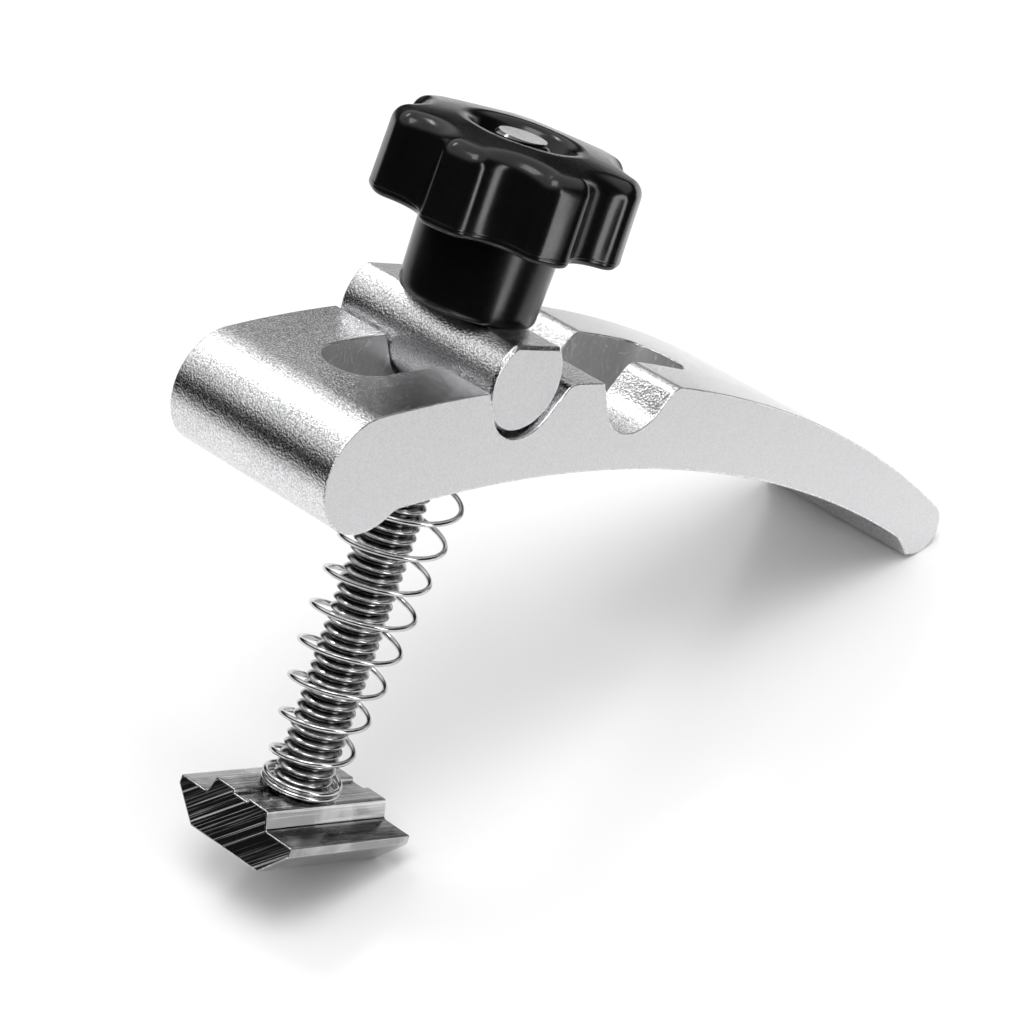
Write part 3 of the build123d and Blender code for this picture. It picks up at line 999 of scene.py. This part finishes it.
def make_threaded_steel():
    """Rolled thread: fine rings round the stud, with painted shade that darkens the
    colour towards the roots.
    """
    thread = Finish("plated_thread", Metallic=1.0)
    tree = thread.tree
    parts = node(tree, "ShaderNodeSeparateXYZ", {"Vector": thread.local}).outputs
    radius = maths(tree, "SQRT", maths(tree, "MULTIPLY_ADD", parts["X"], parts["X"],
                                       maths(tree, "MULTIPLY", parts["Y"], parts["Y"])))
    angle = maths(tree, "ARCTAN2", parts["Y"], parts["X"])
    round_way = node(tree, "ShaderNodeCombineXYZ",
                     {"X": radius, "Y": maths(tree, "MULTIPLY", angle, 4.0),
                      "Z": parts["Z"]}).outputs[0]
    rings = thread.use(lines_group, Coordinates=round_way, Pitch=0.16, Length=5.0)
    hands = thread.use(handling_group)
    # Painted shade: the colour darkens from the crests down into the thread's roots
    root_shade = levels(tree, radius, (3.3, 3.95))
    thread.colour(weighed(tree, root_shade, 0.6, rings["Bright"], 0.4),
                  (0.1, 0.1, 0.105), (0.8, 0.8, 0.8))
    thread.rough(rings["Height"], LINE_SPAN, (0.1, 0.2), hands["Smudge"], 0.06)
    thread.bump(rings["Height"], 0.02, 0.4)
    return thread.material


def make_saw_cut():
    """Sawn ends of the nut: dark, with bright parallel cut lines on the slant."""
    cut = Finish("sawn_steel", Metallic=1.0)
    slant = cut.turned(cut.turned(cut.local, -42, "Y"), 90, "Z")
    deep = cut.use(lines_group, Coordinates=slant, Pitch=0.3, Length=70.0)
    fine = cut.use(lines_group, Coordinates=slant, Pitch=0.14, Length=16.0)
    ridges = levels(cut.tree, deep["Height"], (0.89, 0.97))
    cut.colour(weighed(cut.tree, ridges, 0.75, fine["Bright"], 0.25),
               (0.008, 0.008, 0.008), (0.9, 0.9, 0.9))
    cut.rough(fine["Height"], LINE_SPAN, (0.5, 0.3))
    under = cut.bump(deep["Height"], 0.12, 0.6)
    cut.bump(fine["Height"], 0.04, 0.5, under)
    return cut.material


def make_cropped_end():
    """Cut end of the stud: rough light grey, with an uneven worn surface."""
    end = Finish("cut_stud_end", Metallic=0.5)
    grain = end.use(grain_group, Size=0.55)
    shade = maths(end.tree, "MULTIPLY_ADD", grain["Patches"], 0.2, grain["Fine"])
    end.colour(shade, (0.22, 0.22, 0.22), (0.66, 0.66, 0.66))
    end.rough(grain["Fine"], GRAIN_SPAN, (0.62, 0.8))
    end.bump(grain["Height"], 0.12, 0.5)
    return end.material


def make_wire():
    """Bright drawn wire with faint rubbed marks."""
    wire = Finish("spring_steel", Metallic=1.0)
    grain, hands = wire.use(grain_group, Size=0.4), wire.use(handling_group)
    wire.colour(weighed(wire.tree, hands["Smudge"], 0.5, grain["Fine"], 0.5),
                (0.4, 0.4, 0.405), (0.78, 0.78, 0.78))
    wire.rough(grain["Fine"], GRAIN_SPAN, (0.08, 0.18))
    wire.bump(grain["Fine"], 0.01, 0.3)
    return wire.material


def make_plastic():
    """Moulded black plastic: satin, with fine grain and faint greasy smudges."""
    moulded = Finish("black_plastic", IOR=1.42)
    grain, hands = moulded.use(grain_group, Size=0.28), moulded.use(handling_group)
    moulded.colour(weighed(moulded.tree, hands["Flecks"], 0.5, grain["Fine"], 0.5),
                   (0.002, 0.002, 0.002), (0.007, 0.007, 0.007))
    moulded.rough(grain["Fine"], GRAIN_SPAN, (0.15, 0.22), hands["Smudge"], 0.05)
    moulded.bump(grain["Height"], 0.008, 0.25)
    return moulded.material


def make_brass():
    """Turned brass: fine rings and a little tarnish."""
    turnery = Finish("insert_brass", Metallic=1.0)
    rings = turnery.use(lines_group, Coordinates=turnery.turned(turnery.local, 90, "X"),
                        Pitch=0.12, Length=40.0)
    hands = turnery.use(handling_group)
    turnery.colour(hands["Smudge"], (0.72, 0.56, 0.30), (0.5, 0.37, 0.18))
    turnery.rough(rings["Height"], LINE_SPAN, (0.22, 0.36))
    turnery.bump(rings["Height"], 0.02, 0.3)
    return turnery.material


blasted, sawn, milled = make_blasted(), make_sawn_aluminium(), make_milled()
drawn_steel, thread_steel = make_drawn_steel(), make_threaded_steel()
saw_cut, cropped, bright_wire = make_saw_cut(), make_cropped_end(), make_wire()
plastic, brass = make_plastic(), make_brass()

# Pieces

arm_hole = ((slot_ahead - slot_behind) / 2,
            (slot_ahead + slot_behind) / 2 - slot_half_width, slot_half_width)
slot_axes = Axes(arm.origin + across * slot_offset, arm.turn[0], across, arm_up)
piece("clamp_arm_bar", slot_axes,
      bar([(side(1), side(12)) for side in (arm_back, arm_underside)],
          (-arm_half_width - slot_offset, arm_half_width - slot_offset), arm_hole,
          arm_edge, slot_edge),
      "arm", "clamp_arm", [blasted, sawn, milled])
piece("pivot_barrel_bar", screw,
      bar([(barrel_round(side, 1), barrel_round(side, 12)) for side in (1, -1)],
          barrel_sides, (0.0, 0.0, barrel_bore), barrel_chamfer, bore_edge,
          sloped=True, draw_in=barrel_drawn_in, hold=0.06),
      "barrel", "pivot_barrel", [blasted, sawn, milled])
piece("t_nut_bar", screw_cross,
      bar([(side(1), side(6)) for side in (nut_upper, nut_lower)], nut_sides,
          (0.0, 0.0, nut_bore), nut_edge, bore_edge, hold=0.06),
      "nut", "t_nut", [drawn_steel, saw_cut, drawn_steel])

thread = thread_grid(stud_radius, stud_root, stud_pitch, stud_foot, stud_top,
                     stud_end_radius)
piece("stud_thread", screw,
      [(thread, 0, False, False),
       (disc(stud_end_radius, stud_top), 1, False, False),
       (disc(stud_end_radius, stud_foot), 1, False, False)],
      "screw", "stud", [thread_steel, cropped], sharp=50)

rings_per_turn = 44
wire_turns = np.linspace(0, spring_turns, int(spring_turns * rings_per_turn))
coil = piece("spring_coil", screw,
             [(tube(spring_line(wire_turns), wire_radius), 0, False, False)],
             "screw", "spring", [bright_wire], sharp=50)
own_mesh(coil)

piece("knob_moulding", screw, [(knob_grid(), 0, True, True)],
      "knob", "knob", [plastic], sharp=60)

bush = np.array([
    (nut_bore, knob_foot), (insert_radius, knob_foot), (insert_radius, waist_low),
    (insert_waist, waist_low), (insert_waist, waist_high), (insert_radius, waist_high),
    (insert_radius, bowl_floor), (nut_bore, bowl_floor)])
piece("knob_bush", screw, [(lathe(bush), 0, True, True)],
      "knob", "knob_insert", [brass])

# Floor, lights, camera


def matt(name, grey, roughness):
    """A plain grey material without gloss, and its shader."""
    material = bpy.data.materials.new(name)
    material.use_nodes = True
    shader = material.node_tree.nodes["Principled BSDF"]
    shader.inputs["Base Color"].default_value = (grey, grey, grey, 1)
    shader.inputs["Roughness"].default_value = roughness
    shader.inputs["Specular IOR Level"].default_value = 0.0
    return material, shader


# The floor ends close in front of the clamp, so that the faces towards the camera
# reflect the black card. It reaches far past the heel, whose lower half reflects it
floor_x, floor_y = (-0.58, 0.45), (-0.11, 0.55)
floor_mesh = bpy.data.meshes.new("floor")
floor_mesh.from_pydata(
    [(floor_x[0], floor_y[0], 0), (floor_x[1], floor_y[0], 0),
     (floor_x[1], floor_y[1], 0), (floor_x[0], floor_y[1], 0)],
    [], [(0, 1, 2, 3)])
link("floor", floor_mesh)
floor_mesh.materials.append(matt("floor_paper", 0.9, 0.9)[0])


def lamp(name, place, target, size, energy):
    """Soft rectangular lamp, in metres and watts, that faces a place."""
    data = bpy.data.lights.new(name, "AREA")
    data.shape = "RECTANGLE"
    data.size, data.size_y = size
    data.energy = energy
    made = link(name, data)
    made.location = place
    aim = Vector(target) - Vector(place)
    made.rotation_euler = aim.to_track_quat("-Z", "Y").to_euler()


clamp_middle, knob_middle = (0.0, 0.0, 0.05), (-0.02, 0.0, 0.09)
lamp("overhead", (-0.2, -0.15, 0.87), clamp_middle, (0.45, 0.45), 3.4)
lamp("back_strip", (0.09, 0.51, 0.82), knob_middle, (0.30, 0.10), 1.3)
lamp("front_strip", (-0.035, -0.27, 0.10), knob_middle, (0.07, 0.24), 0.33)

# Black card: its rim in degrees, as seen from the clamp's middle, and metres
card_highest = 42
card_swing = 12.5
card_lowest_heading = 46
card_fade = 8
card_radius = 0.6
card_depth = 0.003


def black_card(spokes=96):
    """Black dish round the studio for dark reflections: a disc under the floor, then a
    wall that fades out over twice the fade angle. The rim's elevation is a constant
    less a cosine of the heading, lowest at the back and highest behind the camera."""
    angle = np.linspace(0, math.tau, spokes + 1)
    rim = card_highest - card_swing * (
        1 + np.cos(angle - math.radians(card_lowest_heading)))
    low, high = (clamp_middle[2] + card_radius * np.tan(np.radians(rim + fade))
                 for fade in (-card_fade, card_fade))
    rows, cover = [], []
    for share, height, hidden in (
            (0.0, -card_depth, 1), (0.5, -card_depth, 1), (1.0, -card_depth, 1),
            (1.0, low, 1), (1.0, (low * 2 + high) / 3, 0.74),
            (1.0, (low + high * 2) / 3, 0.26), (1.0, high, 0)):
        rows.append(revolved(card_radius * share, angle, height))
        cover.append(np.full(spokes + 1, float(hidden)))
    mesh = bpy.data.meshes.new("black_card")
    mesh.from_pydata(np.concatenate(rows), [], quads(len(rows), spokes + 1))
    mesh.attributes.new("cover", "FLOAT", "POINT").data.foreach_set(
        "value", np.concatenate(cover).astype(np.float32))
    made = link("black_card", mesh)
    made.visible_camera = False
    card, shader = matt("black_card", 0.01, 1.0)
    hiding = node(card.node_tree, "ShaderNodeAttribute", attribute_name="cover")
    card.node_tree.links.new(hiding.outputs["Fac"], shader.inputs["Alpha"])
    mesh.materials.append(card)


black_card()

world = bpy.data.worlds.new("studio")
bpy.context.scene.world = world
world.use_nodes = True
background = world.node_tree.nodes["Background"]
background.inputs["Color"].default_value = (1, 1, 1, 1)
background.inputs["Strength"].default_value = 1.0

# Camera, solved from the photograph in axes that start on the barrel's axis at the
# middle of the arm, with the arm nose down by photo_pitch

photo_pitch = 24.8846
photo_width = 1024              # pixels
focal_length = 4000             # pixels
eye_back = (-0.5692, -0.5668, 0.5955)
camera_place = (-293.7, -303.06, 285.93)    # millimetres
settle = math.atan2(arm_up[0], arm_up[2]) - math.radians(photo_pitch)


def settled(vector):
    """Turns a vector by the small pitch between the photograph's axes and the row's."""
    x, y, z = vector
    return np.array([x * math.cos(settle) + z * math.sin(settle), y,
                     z * math.cos(settle) - x * math.sin(settle)])


back = unit(settled(eye_back))
right = unit(np.cross((0, 0, 1), back))
up = np.cross(back, right)
camera_data = bpy.data.cameras.new("camera")
camera_data.sensor_width = 36.0
camera_data.lens = focal_length / photo_width * camera_data.sensor_width
camera_data.clip_start = 0.01
camera = link("camera", camera_data)
place = (settled(camera_place) + arm.origin) * METRES
camera.matrix_world = Matrix((
    (right[0], up[0], back[0], place[0]),
    (right[1], up[1], back[1], place[1]),
    (right[2], up[2], back[2], place[2]),
    (0, 0, 0, 1)))
bpy.context.scene.camera = camera
bpy.context.scene.view_settings.view_transform = "Standard"
